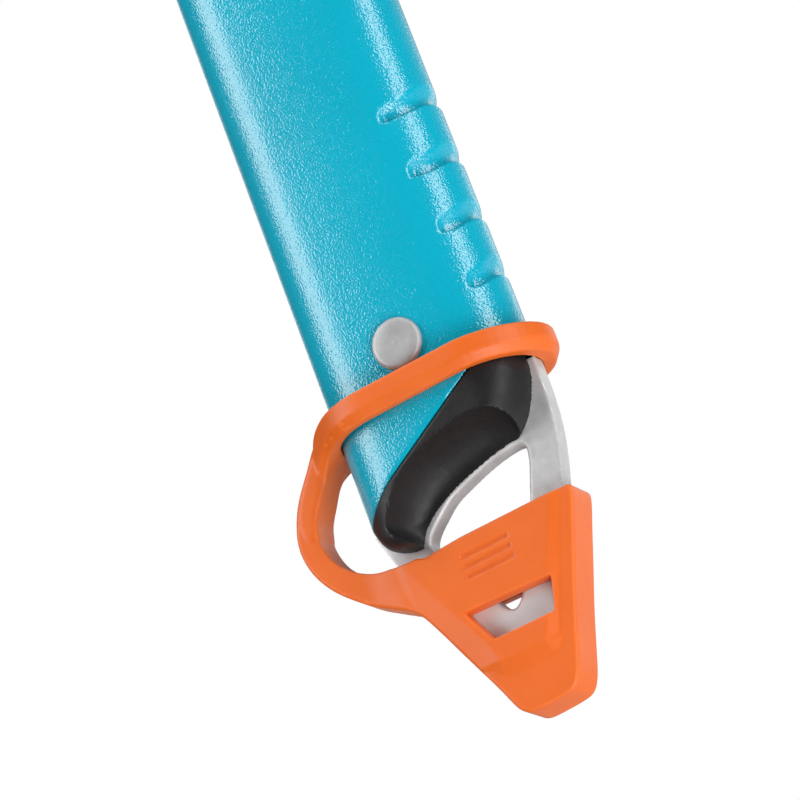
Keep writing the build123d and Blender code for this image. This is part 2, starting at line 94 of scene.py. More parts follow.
# ---------------------------------------------------------------- outlines
def cut_corners(points, cuts, keep):
    """Chaikin corner cutting; the points indexed in keep stay sharp."""
    points = [tuple(p) for p in points]
    sharp = [i in keep for i in range(len(points))]
    for _ in range(cuts):
        new_points, new_sharp = [], []
        count = len(points)
        for i in range(count):
            j = (i + 1) % count
            a, b = np.array(points[i]), np.array(points[j])
            new_points.append(tuple(a) if sharp[i] else tuple(a * .75 + b * .25))
            new_sharp.append(sharp[i])
            if not sharp[j]:
                new_points.append(tuple(a * .25 + b * .75))
                new_sharp.append(False)
        points, sharp = new_points, new_sharp
    return points


def polygon_distance(points, x, z):
    start = np.array(points, float)
    end = np.roll(start, -1, axis=0)
    squared = np.full(x.shape, 1e18)
    inside = np.zeros(x.shape, bool)
    for (ax, az), (bx, bz) in zip(start, end):
        ex, ez = bx - ax, bz - az
        length2 = ex * ex + ez * ez
        if length2 < 1e-14:
            continue
        wx, wz = x - ax, z - az
        t = np.clip((wx * ex + wz * ez) / length2, 0, 1)
        dx, dz = wx - ex * t, wz - ez * t
        squared = np.minimum(squared, dx * dx + dz * dz)
        if ez != 0:
            crosses = ((az <= z) & (bz > z)) | ((bz <= z) & (az > z))
            inside ^= crosses & (x < ax + (z - az) / ez * ex)
    distance = np.sqrt(squared)
    return np.where(inside, -distance, distance)


class Outline:
    """Signed distance to a corner-cut polygon, held on a fine grid and interpolated."""
    def __init__(self, points, cuts=2, keep=(), step=0.1, margin=3.0):
        points = cut_corners(points, cuts, keep)
        corners = np.array(points, float)
        self.step = step * (1.5 if COARSE > 1 else 1)
        self.low = corners.min(0) - margin
        self.count = np.ceil((corners.max(0) + margin - self.low) / self.step).astype(int) + 1
        axes = [self.low[i] + np.arange(self.count[i]) * self.step for i in (0, 1)]
        self.grid = polygon_distance(points, *np.meshgrid(*axes, indexing="ij"))

    def __call__(self, x, z):
        x, z = np.broadcast_arrays(np.asarray(x, float), np.asarray(z, float))
        fx = (x - self.low[0]) / self.step
        fz = (z - self.low[1]) / self.step
        cx = np.clip(fx, 0, self.count[0] - 1.001)
        cz = np.clip(fz, 0, self.count[1] - 1.001)
        i, k = cx.astype(int), cz.astype(int)
        u, v = cx - i, cz - k
        g = self.grid
        value = (g[i, k] * (1 - u) * (1 - v) + g[i + 1, k] * u * (1 - v)
                 + g[i, k + 1] * (1 - u) * v + g[i + 1, k + 1] * u * v)
        return value + (np.abs(fx - cx) + np.abs(fz - cz)) * self.step * 0.7


def low_outline(points, **options):
    """Outline whose heights are given from the lower rivet."""
    return Outline([(x, z + RIVET_Z) for x, z in points], **options)


# ---------------------------------------------------------------- joining distances
def stadium(x, y, flat, radius):
    return np.hypot(np.maximum(np.abs(x) - flat, 0), y) - radius


def round_meet(first, second, radius):
    """Intersection with a rounded edge, e.g. of an outline and a thickness."""
    a, b = first + radius, second + radius
    return np.hypot(np.maximum(a, 0), np.maximum(b, 0)) + np.minimum(np.maximum(a, b), 0) - radius


def soft_min(a, b, blend):
    h = np.clip(0.5 + 0.5 * (b - a) / blend, 0, 1)
    return b * (1 - h) + a * h - blend * h * (1 - h)


def soft_max(a, b, blend):
    return -soft_min(-a, -b, blend)


def smoothstep(start, end, value):
    t = np.clip((value - start) / (end - start), 0, 1)
    return t * t * (3 - 2 * t)


def drill(distance, x, z, centres, radius):
    """Cuts round holes that run along y."""
    for cx, cz in centres:
        distance = np.maximum(distance, -(np.hypot(x - cx, z - cz) - radius))
    return distance


def hexagon(x, z, half_width):
    slants = np.maximum(np.abs(x * 0.5 + z * 0.866), np.abs(x * 0.5 - z * 0.866))
    return np.maximum(np.abs(x), slants) - half_width


# ---------------------------------------------------------------- meshing
def pull_onto(field, points, cell):
    """Moves points along the field's gradient onto its zero surface."""
    probe = 0.06
    for _ in range(2):
        value = field(*points.T)
        slope = np.zeros_like(points)
        for axis in range(3):
            offset = np.zeros(3)
            offset[axis] = probe
            ahead, behind = points + offset, points - offset
            slope[:, axis] = (field(*ahead.T) - field(*behind.T)) / (2 * probe)
        step = (value / np.maximum((slope * slope).sum(1), 0.15))[:, None] * slope
        length = np.linalg.norm(step, axis=1)
        step *= np.minimum(1, 0.45 * cell / np.maximum(length, 1e-9))[:, None]
        points -= step


def mesh_surface(field, low, high, cell):
    """Meshes the zero surface of field(x, y, z) with one vertex in each cell it crosses."""
    cell = cell * COARSE
    low = np.array(low, float) - 1.5 * cell
    if low[1] < 0 < high[1]:
        # keep the middle plane between samples, so both sides match
        low[1] = -(math.ceil(-low[1] / cell) + 0.5) * cell
    count = np.ceil((np.array(high, float) + 1.5 * cell - low) / cell).astype(int) + 1
    axes = [low[i] + np.arange(count[i]) * cell for i in range(3)]
    values = field(axes[0][:, None, None], axes[1][None, :, None], axes[2][None, None, :])
    values = np.broadcast_to(values, tuple(count)).astype(np.float64)
    values = np.where(np.abs(values) < 1e-9, 1e-9, values)
    inside = values < 0
    corners = [(i, j, k) for i in (0, 1) for j in (0, 1) for k in (0, 1)]
    filled = sum(inside[i:count[0] - 1 + i, j:count[1] - 1 + j, k:count[2] - 1 + k].astype(np.int8)
                 for i, j, k in corners)
    I, J, K = np.nonzero((filled > 0) & (filled < 8))
    at_corner = {c: values[I + c[0], J + c[1], K + c[2]] for c in corners}
    # each vertex is the mean of the crossings on its cell's edges
    total, crossings = np.zeros((len(I), 3)), np.zeros(len(I))
    for start in corners:
        for axis in range(3):
            if start[axis]:
                continue
            end = start[:axis] + (1,) + start[axis + 1:]
            va, vb = at_corner[start], at_corner[end]
            crossed = (va < 0) != (vb < 0)
            point = np.tile(np.array(start, float), (len(I), 1))
            point[:, axis] += np.where(crossed, va / np.where(crossed, va - vb, 1), 0)
            total[crossed] += point[crossed]
            crossings[crossed] += 1
    points = low + (np.stack([I, J, K], 1) + total / crossings[:, None]) * cell
    index = np.full(tuple(count - 1), -1, np.int64)
    index[I, J, K] = np.arange(len(I))
    # each crossed grid edge gives a quad between its four cells
    faces = []
    for axis in range(3):
        edge = np.nonzero(np.diff(inside, axis=axis))
        s, t = [(1, 2), (2, 0), (0, 1)][axis]
        inner = ((edge[s] > 0) & (edge[t] > 0)
                 & (edge[s] < count[s] - 1) & (edge[t] < count[t] - 1))
        edge = [e[inner] for e in edge]
        quad = []
        for back_s, back_t in ((1, 1), (0, 1), (0, 0), (1, 0)):
            at = list(edge)
            at[s] = at[s] - back_s
            at[t] = at[t] - back_t
            quad.append(index[tuple(at)])
        quad = np.stack(quad, 1)
        flip = ~inside[tuple(edge)]
        quad[flip] = quad[flip][:, ::-1]
        faces.append(quad)
    pull_onto(field, points, cell)
    return points, np.concatenate(faces)


def mirrored(mesh):
    """The same mesh on the other side of y = 0."""
    return mesh[0] * np.array([1, -1, 1]), mesh[1][:, ::-1]


def lathe(profile, start, side, steps):
    """Turned body along +Y or -Y (side 1 or -1); profile is (radius, distance from start)."""
    axis = np.array((0, side, 0), float)
    u = np.cross(axis, [0.3, 0.1, 1.0])
    u /= np.linalg.norm(u)
    w = np.cross(axis, u)
    verts, faces, rings = [], [], []
    for radius, along in profile:
        first = len(verts)
        centre = np.array(start) + axis * along
        if radius < 1e-6:
            verts.append(centre)
        else:
            for i in range(steps):
                a = 2 * math.pi * i / steps
                verts.append(centre + (u * math.cos(a) + w * math.sin(a)) * radius)
        rings.append(list(range(first, len(verts))))
    for A, B in zip(rings, rings[1:]):
        for i in range(steps):
            j = (i + 1) % steps
            if len(A) == 1:
                faces.append((A[0], B[i], B[j]))
            elif len(B) == 1:
                faces.append((A[i], B[0], A[j]))
            else:
                faces.append((A[i], B[i], B[j], A[j]))
    return np.array(verts), faces


def build(name, mesh, material, replaces, body="axe", in_head=False, sharp=35):
    verts, faces = mesh
    if in_head:
        verts = (TOP + verts[:, :1] * FORWARD + verts[:, 1:2] * np.array([0, 1.0, 0])
                 + verts[:, 2:3] * UP)
    data = bpy.data.meshes.new(name)
    faces = [tuple(int(i) for i in face) for face in faces]
    data.from_pydata([tuple(v) for v in (verts * MM)], [], faces)
    data.validate(clean_customdata=False)
    data.update()
    ob = bpy.data.objects.new(name, data)
    bpy.context.scene.collection.objects.link(ob)
    data.materials.append(material)
    for polygon in data.polygons:
        polygon.use_smooth = True
    data.set_sharp_from_angle(angle=math.radians(sharp))
    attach(ob, body)
    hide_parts(replaces)


# ---------------------------------------------------------------- material helpers
def srgb(*levels):
    scaled = [level / 255 for level in levels]
    return tuple(c / 12.92 if c <= 0.04045 else ((c + 0.055) / 1.055) ** 2.4
                 for c in scaled) + (1.0,)


def shade(colour, factor):
    return tuple(min(1, c * factor) for c in colour) + (1,)


def feed(tree, node, inputs):
    """Links sockets and sets plain values on a node's inputs."""
    for key, value in inputs.items():
        if isinstance(value, bpy.types.NodeSocket):
            tree.links.new(value, node.inputs[key])
        else:
            node.inputs[key].default_value = value


def add_node(tree, kind, inputs={}, **settings):
    node = tree.nodes.new("ShaderNode" + kind)
    for key, value in settings.items():
        setattr(node, key, value)
    feed(tree, node, inputs)
    return node


class Material:
    """A Principled material; the methods add nodes and return their output sockets."""
    def __init__(self, name):
        self.data = bpy.data.materials.new(name)
        self.data.use_nodes = True
        self.tree = self.data.node_tree
        self.coords = self.add("TexCoord").outputs["Object"]
        self.normal = None

    def add(self, kind, inputs={}, **settings):
        return add_node(self.tree, kind, inputs, **settings)

    def noise(self, scale, detail=2.0, rough=0.5, coords=None):
        return self.add("TexNoise", {"Scale": scale, "Detail": detail, "Roughness": rough,
                                     "Distortion": 0.0,
                                     "Vector": coords or self.coords}).outputs["Fac"]

    def ramp(self, fac, low, high, at=(0, 1)):
        node = self.add("ValToRGB", {"Fac": fac})
        for stop, position, colour in zip(node.color_ramp.elements, at, (low, high)):
            stop.position = position
            stop.color = colour
        return node.outputs["Color"]

    def remap(self, value, source, target=(0, 1)):
        return self.add("MapRange", {"From Min": source[0], "From Max": source[1],
                                     "To Min": target[0], "To Max": target[1],
                                     "Value": value}).outputs["Result"]

    def math(self, operation, a, b):
        return self.add("Math", {0: a, 1: b}, operation=operation).outputs[0]

    def stretched(self, scale):
        return self.add("Mapping", {"Scale": scale, "Vector": self.coords}).outputs["Vector"]

    def bump(self, height, strength, dist):
        inputs = {"Strength": strength, "Distance": dist, "Height": height}
        if self.normal is not None:
            inputs["Normal"] = self.normal
        self.normal = self.add("Bump", inputs).outputs["Normal"]

    def edges(self, low, high):
        """1 on convex edges, between two levels of pointiness."""
        return self.remap(self.add("NewGeometry").outputs["Pointiness"], (low, high))

    def mix(self, fac, a, b):
        return self.add("Mix", {0: fac, 6: a, 7: b}, data_type="RGBA").outputs[2]

    def done(self, colour, rough, metallic=0.0, spec=0.5, **others):
        inputs = {"Base Color": colour, "Roughness": rough, "Metallic": metallic,
                  "Specular IOR Level": spec}
        inputs.update({key.replace("_", " "): value for key, value in others.items()})
        if self.normal is not None:
            inputs["Normal"] = self.normal
        feed(self.tree, self.tree.nodes["Principled BSDF"], inputs)
        return self.data


# ---------------------------------------------------------------- materials
def teal_coat():
    m = Material("teal_powder_coat")
    lumps = m.noise(scale=3300, detail=0.5, rough=0.4)
    grain = m.noise(scale=1500, detail=0.5, rough=0.4)
    m.bump(grain, strength=0.15, dist=0.00006)
    m.bump(lumps, strength=0.75, dist=0.00010)
    clouds = m.noise(scale=30)
    colour = m.ramp(m.remap(clouds, (0.3, 0.7)), srgb(0, 160, 186), srgb(2, 168, 194))
    rough = m.remap(lumps, (0.3, 0.7), (0.16, 0.23))
    return m.done(colour, rough, spec=0.85)


def steel(name, base, rough, scale=1.0, brushed=None, painted_light_z=None):
    """Mottled metal. brushed stretches fine lines; the height pair (m) gives where a painted light
    starts and where it is strongest:
    the part is painted a lighter, cooler grey low down, in place of light that the guard's window
    recess shades off it."""
    m = Material(name)
    mottle = m.noise(scale=420 * scale, detail=4, rough=0.65)
    fine = m.noise(scale=2600 * scale, rough=0.6)
    clouds = m.noise(scale=60 * scale, detail=3)
    tone = m.math("ADD", m.math("MULTIPLY", mottle, 0.6), m.math("MULTIPLY", clouds, 0.4))
    colour = m.ramp(m.remap(tone, (0.35, 0.65)), shade(base, 0.80), shade(base, 1.10))
    # convex edges painted a lighter shade of the metal: a painted highlight
    colour = m.mix(m.math("MULTIPLY", m.edges(0.51, 0.58), 0.35), colour, shade(base, 1.25))
    m.bump(fine, strength=0.06 if brushed else 0.30, dist=0.00003)
    m.bump(mottle, strength=0.15, dist=0.00004)
    if brushed:
        lines = m.noise(scale=240, rough=0.6, coords=m.stretched(brushed))
        m.bump(lines, strength=0.16, dist=0.00003)
    # painted light: below these heights the colour is mixed towards a pale cool grey, standing in
    # for light the recess shades off
    if painted_light_z:
        height = m.add("SeparateXYZ", {0: m.coords}).outputs["Z"]
        painted_light = m.remap(height, painted_light_z)
        colour = m.mix(m.math("MULTIPLY", painted_light, 0.85), colour, (0.80, 0.90, 0.94, 1))
    rough = m.remap(mottle, (0.3, 0.7), (rough - 0.05, rough + 0.07))
    return m.done(colour, rough, metallic=0.45)


def black_plastic():
    m = Material("black_moulded")
    base, rough = (0.011, 0.011, 0.012), 0.46
    grain = m.noise(scale=2200, detail=3, rough=0.6)
    lumps = m.noise(scale=700)
    m.bump(grain, strength=0.55, dist=0.00005)
    m.bump(lumps, strength=0.2, dist=0.00005)
    clouds = m.noise(scale=80, detail=3, rough=0.6)
    colour = m.ramp(m.remap(clouds, (0.3, 0.7)), shade(base, 0.85), shade(base, 1.2))
    scuffs = m.remap(m.noise(scale=9000, detail=1), (0.66, 0.74), (0.0, 0.25))
    colour = m.mix(scuffs, colour, (0.06, 0.06, 0.062, 1))
    rough = m.remap(lumps, (0.3, 0.7), (rough - 0.05, rough + 0.08))
    return m.done(colour, rough, spec=0.30)


def orange_elastomer():
    m = Material("orange_elastomer")
    fine = m.noise(scale=1800)
    soft = m.noise(scale=160)
    m.bump(fine, strength=0.16, dist=0.00004)
    m.bump(soft, strength=0.10, dist=0.00012)
    colour = m.ramp(m.remap(soft, (0.3, 0.7)), srgb(216, 97, 26), srgb(220, 101, 30))
    # convex edges painted a lighter orange: a painted highlight
    edges = m.math("MULTIPLY", m.edges(0.51, 0.57), 0.25)
    colour = m.mix(edges, colour, srgb(255, 140, 80))
    rough = m.remap(fine, (0.3, 0.7), (0.40, 0.50))
    return m.done(colour, rough, spec=0.4, Subsurface_Weight=0.12,
                  Subsurface_Radius=(0.6, 0.25, 0.1), Subsurface_Scale=0.0012)


def black_coat():
    m = Material("satin_black_coat")
    grain = m.noise(scale=1300, detail=3, rough=0.6)
    m.bump(grain, strength=0.3, dist=0.00005)
    patches = m.noise(scale=300, detail=4, rough=0.7)
    worn = m.math("MULTIPLY", m.edges(0.515, 0.575), m.remap(patches, (0.45, 0.6), (0.0, 0.8)))
    colour = m.mix(worn, (0.028, 0.029, 0.031, 1), (0.42, 0.42, 0.43, 1))
    return m.done(colour, m.remap(grain, (0.3, 0.7), (0.36, 0.48)))


def seal_rubber():
    m = Material("seal_rubber_black")
    grain = m.noise(scale=1500)
    m.bump(grain, strength=0.4, dist=0.00005)
    colour = m.ramp(grain, shade([0.012] * 3, 1), shade([0.03] * 3, 1), at=(0.2, 0.8))
    return m.done(colour, rough=0.7, spec=0.3)


TEAL = teal_coat()
# the spike plate gets painted light low down, where it shows in the guard's window recess
SPIKE_STEEL = steel("spike_blasted_steel", (0.60, 0.605, 0.61), 0.54, painted_light_z=(0.0215, 0.0165))
RIVET_STEEL = steel("rivet_satin", (0.44, 0.44, 0.445), 0.50, scale=0.9)
PICK_STEEL = steel("pick_forged_steel", (0.50, 0.505, 0.52), 0.38, scale=0.8,
                   brushed=(1.0, 1.0, 5.0))
BOLT_ZINC = steel("bolt_zinc", (0.46, 0.46, 0.48), 0.33, scale=1.2)
CORE_ALLOY = steel("core_blasted_alloy", (0.40, 0.41, 0.43), 0.48)
BLACK = black_plastic()
ORANGE = orange_elastomer()
CHEEK_COAT = black_coat()
SEAL_RUBBER = seal_rubber()

# ---------------------------------------------------------------- shaft
BEND_R = 600.0
STRAIGHT_TOP = 45.0                               # straight length above the bend
BEND_Z = (TOP - UP * STRAIGHT_TOP)[2] - BEND_R * math.sin(TILT)
SHAFT_LENGTH = BEND_Z + BEND_R * TILT + STRAIGHT_TOP
CROWN = 0.30                                      # how far the outline is drawn in
FAR = 99                                          # arc value away from the +X edge
# grip notches on the +X edge: lip height above the rivet, half width along the arc, depth
NOTCHES = ((4.94, 8.0, 0.88), (14.32, 9.1, 0.98), (23.88, 10.4, 0.98), (33.55, 11.7, 0.98))


def slant(x):
    return RIVET_Z - 12.85 + 0.568 * x


def tube_end(x):
    """Height of the tube's slanted lower end at x."""
    return np.minimum(slant(x), RIVET_Z - 6.0)


def shaft_section():
    """Columns x, y, normal x, normal y, arc length from the middle of the +X edge."""
    arc_steps, flat_steps = int(72 / COARSE), int(26 / COARSE)
    section = []
    for side, steps in ((1, arc_steps), (-1, arc_steps // 2)):
        for i in range(steps):
            angle = math.radians(-90 * side + 180 * i / steps)
            nx, ny = math.cos(angle), math.sin(angle)
            arc = EDGE_R * angle if side == 1 else FAR
            section.append((side * FLAT + EDGE_R * nx, EDGE_R * ny, nx, ny, arc))
        for i in range(flat_steps):
            section.append((side * (FLAT - 2 * FLAT * i / flat_steps), side * EDGE_R,
                            0, side, FAR))
    return np.array(section).T


def shaft():
    sx, sy, nx, ny, arc = shaft_section()
    # the broad faces are slightly crowned, easing back to the full width at the edges
    t = 2 / math.pi * np.arcsin(np.clip((np.abs(sx) - FLAT) / EDGE_R, 0, 1))
    crown = np.where(np.abs(sx) <= FLAT, CROWN * (sx / FLAT) ** 2,
                     CROWN * (2 * t ** 3 - 3 * t ** 2 + 1) + 1.05 * (t ** 3 - 2 * t ** 2 + t))

    def row(length, inset=0.0):
        """The section at a length along the path, moved in along its normals."""
        x, y = sx - nx * (inset + crown), sy - ny * (inset + crown)
        length = np.broadcast_to(length, x.shape)
        turn = np.clip((length - BEND_Z) / BEND_R, 0, TILT)
        beyond = np.maximum(length - BEND_Z - BEND_R * TILT, 0)
        path_x = BEND_R * (1 - np.cos(turn)) + beyond * math.sin(TILT)
        path_z = np.where(length < BEND_Z, length, BEND_Z + BEND_R * np.sin(turn))
        path_z = path_z + beyond * math.cos(TILT)
        return np.stack([path_x + x * np.cos(turn), y, path_z - x * np.sin(turn)], 1)

    def notch_depth(z):
        deepest = np.zeros(len(sx))
        reach = np.abs(arc)
        for height, half_arc, depth in NOTCHES:
            end = np.clip((reach - (half_arc - 2.2)) / 2.2, 0, 1.2)
            above = z - (RIVET_Z + height - 1.8 * smoothstep(0.1, 0.8, reach / half_arc))
            rise = smoothstep(0.0, 0.5, above)
            fall = 1 - smoothstep(1.2 - 0.4 * end, 3.6 - 1.0 * end, above)
            fade = 1 - smoothstep(0.45, 1.0, end)
            deepest = np.maximum(deepest, depth * rise * fall * fade)
        return deepest

    # outside from the slanted end to the top, then back down the bore
    foot = tube_end(sx)
    rows = [row(foot, 0.30), row(foot + 0.06, 0.09), row(foot + 0.28)]
    for t in np.linspace(0.06, 1, int(22 / COARSE)):
        rows.append(row(foot + (RIVET_Z + 2.0 - foot) * t))
    for z in np.arange(RIVET_Z + 2.3, RIVET_Z + 42, 0.26 * COARSE):
        rows.append(row(z, notch_depth(z)))
    for z in np.arange(RIVET_Z + 44, SHAFT_LENGTH - 1.5, 4.0):
        rows.append(row(z))
    for below_top, inset in ((1.0, 0), (0.25, 0), (0.06, 0.09), (0, 0.3), (0, WALL)):
        rows.append(row(SHAFT_LENGTH - below_top, inset))
    for z in np.linspace(SHAFT_LENGTH - 4, RIVET_Z + 10, 60):
        rows.append(row(z, WALL))
    rows.append(row(foot, WALL))
    around = len(sx)
    faces = []
    for r in range(len(rows)):
        a, b = r * around, ((r + 1) % len(rows)) * around
        for i in range(around):
            j = (i + 1) % around
            faces.append((a + i, a + j, b + j, b + i))
    build("shaft_tube_coated", (np.concatenate(rows), faces), TEAL, "shaft_tube",
          sharp=50)


shaft()

# ---------------------------------------------------------------- spike plate
# outlines of the lower end are (x, height from the lower rivet)
SPIKE = [
    (-11, 13), (-11, -19.4), (-15.95, -22.2), (-15.6, -23.3), (-15.3, -24.1), (-14.9, -25.4),
    (-14.2, -27.7), (-12.9, -31), (-11.3, -34.5), (-9.1, -39.5), (-7.2, -43.5), (-5.2, -47.3),
    (-3, -50.5), (-1.4, -51.7), (0, -52), (1.5, -51.6), (3.4, -50.2), (5.6, -47.1),
    (7.6, -42.9), (9.8, -37.4), (11.9, -32), (13.3, -27.1), (14.3, -23.9), (15.05, -20.9),
    (15.6, -17.6), (15.88, -14.2), (15.97, -10.8), (15.97, -8.5), (11, -8.5), (11, 13)]
SPIKE_EYE = [
    (-8.3, -27.3), (-8.04, -26.2), (-7, -25), (-5.6, -23.9), (-3.25, -22.1), (-0.3, -21.1),
    (2.5, -20.2), (5.3, -19.55), (7.9, -19.25), (9, -19.3), (9.7, -19.7), (10, -20.3),
    (9.9, -21), (9.7, -22.15), (8.7, -24.8), (7.6, -27.8), (1.7, -39.3), (0.9, -40.3),
    (-0.2, -40.9), (-1.2, -40.2), (-2, -39.1)]
spike_outline = low_outline(SPIKE, keep=(0, 1, 2, 27, 28, 29))
spike_eye = low_outline(SPIKE_EYE)


def spike_shape(x, y, z):
    ay = np.abs(y)
    # faces drawn in towards the point
    to_point = np.clip(((RIVET_Z - 40.0) - z) / 12.0, 0, 1)
    half = BLADE_HALF - 1.25 * to_point ** 1.4
    d = round_meet(spike_outline(x, z), ay - half, 0.22)
    countersink = np.maximum(ay - (BLADE_HALF - 0.45), 0) * 0.8
    d = soft_max(d, -(spike_eye(x, z) - countersink), 0.12)
    return drill(d, x, z, [(0, RIVET_Z)], RIVET_HOLE_R)


build("spike_plate_blade",
      mesh_surface(spike_shape, (-16.2, -BLADE_HALF, RIVET_Z - 52.2),
                   (16.2, BLADE_HALF, RIVET_Z + 13.2), 0.24),
      SPIKE_STEEL, "spike_plate")

# ---------------------------------------------------------------- end plug halves
RIM = [(-9.3, -26.9), (-8.7, -25.5), (-7.4, -24.1), (-5.1, -22.5), (-3, -21.6), (-1.1, -20.8),
       (2.7, -19.8), (6.3, -19), (9.6, -18.7)]
PLUG = [
    (-17.5, -20.9), (-16.3, -22.2), (-15.4, -23.6), (-14.3, -24.95), (-13, -25.95),
    (-11.7, -26.6), (-10.4, -26.95), (-9.3, -26.95), *RIM[1:], (11.6, -17.35),
    (13.45, -15.7), (15.1, -14), (17.5, -11.6), (17.5, -4), (-17.5, -4)]
CREASE = [                                        # upper edge of the scoop, closed below
    (-8.6, -27.6), (-9.9, -26.9), (-11.2, -25.7), (-12.1, -24.3), (-12.3, -23.1),
    (-11.9, -22.3), (-11.2, -21.6), (-10.15, -20.5), (-9.2, -19.4), (-7.57, -18),
    (-5.53, -16.65), (-3.45, -15.63), (-1.53, -14.95), (0.67, -14.4), (3.05, -13.9),
    (5.65, -13.6), (8, -13.8), (10.1, -14.6), (11.4, -15.6), (12, -16.9), (12.3, -18.3),
    (13.6, -22), (18, -44), (6, -44), (-2.5, -31.6)]
plug_outline = low_outline(PLUG, keep=(7, 15, 20, 21))
crease_outline = low_outline(CREASE)
rim_outline = low_outline(RIM + [(14, -22), (6, -34), (-12, -34)], cuts=0)
SCOOP_FLOOR = 1.95


def scoop_height(x, z):
    """How far the scooped surface stands out from the middle plane."""
    within = -crease_outline(x, z) - 0.35         # positive inside the scoop
    from_rim = np.maximum(rim_outline(x, z), 0)
    t = from_rim / np.maximum(from_rim + np.maximum(within, 0), 1e-3)
    curve = 0.55 * (1 - np.sqrt(np.maximum(1 - t * t, 0))) + 0.45 * t * t
    height = SCOOP_FLOOR + (EDGE_R + 0.3 - SCOOP_FLOOR) * curve
    return np.where(within > 0, height, EDGE_R + 0.6 + np.minimum(-within, 3))


def plug_shape(x, y, z):
    """The half on the -Y side: a visible lobe and a spigot inside the tube."""
    q = -y
    inner_face = (BLADE_HALF + 0.03) - q
    scoop = q - scoop_height(x, z)
    lobe = round_meet(plug_outline(x, z), stadium(x, y, FLAT, EDGE_R),
                      1.7 + 3.6 * smoothstep(1.0, 12.0, x))
    lobe = round_meet(lobe, inner_face, 0.05)
    lobe = soft_max(lobe, scoop * 0.62, 0.18)
    lobe = soft_max(lobe, (z - tube_end(x) + 0.20) * 0.87, 0.45)
    spigot = np.maximum(stadium(x, y, FLAT, EDGE_R - WALL - 0.1), inner_face)
    spigot = np.maximum(spigot, np.maximum(z - (RIVET_Z + 14.0), slant(x) - 2.0 - z))
    spigot = np.maximum(spigot, (scoop + 0.5) * 0.62)
    corner = (RIVET_Z - 8.6) - z - np.maximum(10 - x, 0) * 3
    spigot = np.maximum(spigot, np.maximum(x - 14.1, corner))
    return drill(np.minimum(lobe, spigot), x, z, [(0, RIVET_Z)], RIVET_HOLE_R)


plug = mesh_surface(plug_shape, (-16.2, -EDGE_R - 0.2, RIVET_Z - 27.4),
                    (16.2, -BLADE_HALF + 0.3, RIVET_Z + 14.3), 0.24)
build("end_plug_front_half", plug, BLACK, "end_plug_front")
build("end_plug_back_half", mirrored(plug), BLACK, "end_plug_back")

# ---------------------------------------------------------------- lower rivet and ring
# (radius, distance out from the shaft's face)
RIVET = [
    (0, 0.965), (0.3, 0.955), (0.45, 0.94), (0.7, 0.945), (0.95, 0.965), (1.4, 0.96),
    (2.3, 0.945), (3, 0.91), (3.35, 0.84), (3.62, 0.70), (3.79, 0.46), (3.86, 0.18),
    (3.86, 0.02), (2, 0), (2, -2 * EDGE_R - 0.75), (1.75, -2 * EDGE_R - 1.0),
    (1, -2 * EDGE_R - 1.08), (0, -2 * EDGE_R - 1.1)]
RING = [(2.06, 0.02), (3.86, 0.02), (3.84, 0.40), (3.66, 0.68), (3.3, 0.86), (2.5, 0.92),
        (2.14, 0.88), (2.06, 0.78), (2.06, 0.02)]
build("spike_rivet_headed", lathe(RIVET, (0, -EDGE_R, RIVET_Z), -1, 112),
      RIVET_STEEL, "spike_rivet", sharp=40)
build("spike_rivet_swaged_ring", lathe(RING, (0, EDGE_R, RIVET_Z), 1, 112),
      RIVET_STEEL, "spike_rivet_ring", sharp=40)

# ---------------------------------------------------------------- spike guard
GUARD = [
    (13.8, -28.5), (14.75, -28.7), (14.8, -29.8), (13.25, -33.8), (11.3, -39.1), (9.3, -44.3),
    (7.5, -49.6), (6.6, -52.3), (5.95, -53.9), (5, -55.3), (3.6, -55.85), (-1.6, -56.1),
    (-2.9, -55.9), (-3.75, -55.2), (-4.4, -54.2), (-5.6, -51.2), (-7.4, -47.4),
    (-9.15, -43.65), (-10.9, -39.8), (-12.4, -36.8), (-13.4, -35.2), (-13.6, -34),
    (-13.4, -28.5)]
STRAP = [
    (-14, -4.4), (-16.4, -4.4), (-18, -4.75), (-19.2, -5.4), (-20.3, -6.5), (-21.5, -8.1),
    (-22.95, -9.9), (-24.3, -11.6), (-25.4, -13.4), (-26.2, -15.15), (-26.9, -17.3),
    (-27.1, -19.6), (-26.8, -21.65), (-26.1, -23.8), (-24.9, -25.95), (-23.4, -27.85),
    (-21.6, -29.6), (-19.7, -31.3), (-18, -32.4), (-15.7, -33.9), (-13.6, -35.1),
    (-11.5, -36.2), (-9, -36.2), (-9, -28.5), (-12.6, -28.35), (-14.7, -27.9),
    (-16.4, -27.6), (-18, -27), (-19.4, -26.2), (-20.7, -25.2), (-21.8, -24.1),
    (-22.7, -22.85), (-23.3, -21.4), (-23.7, -19.6), (-23.7, -18.5), (-23.3, -16.6),
    (-22.7, -15.3), (-21.4, -13.4), (-20.6, -12.2), (-19.7, -11.1), (-18.8, -10.2),
    (-17.75, -9.2), (-16, -8.5), (-14, -8.4)]
# underside of the collar, its -X end turning down along the strap's inner edge
UNDER = [(40, -8.42), (-14, -8.42), (-16.2, -8.6), (-17.75, -9.3), (-18.8, -10.2),
         (-19.7, -11.1), (-20.6, -12.2), (-21.4, -13.4), (-22.7, -15.3), (-23.3, -16.6),
         (-23.7, -18.5)]
COLLAR_SIDE = UNDER + [
    (-25.4, -18.5), (-25.4, -15.4), (-24.7, -13.6), (-23.7, -11.9), (-22.4, -10.2),
    (-21.1, -8.5), (-20.05, -6.9), (-19.1, -5.7), (-18, -4.85), (-16.4, -4.4), (-13, -4.32),
    (40, -4.32)]
PANEL = [(-12.6, -26), (-12.45, -28.9), (-9.3, -35.6), (-6.5, -41.15), (-4.6, -44.9),
         (-3.9, -47.3), (-3.4, -47.8), (3.3, -47.8), (3.95, -47.3), (5.2, -44.4),
         (11.5, -28.7), (12.5, -26)]
WINDOW = [(-6.3, -39.1), (-6, -39.1), (7.15, -39.55), (7.4, -39.75), (6.1, -44.2),
          (5.7, -44.5), (-3.3, -44.35), (-3.7, -44.15)]
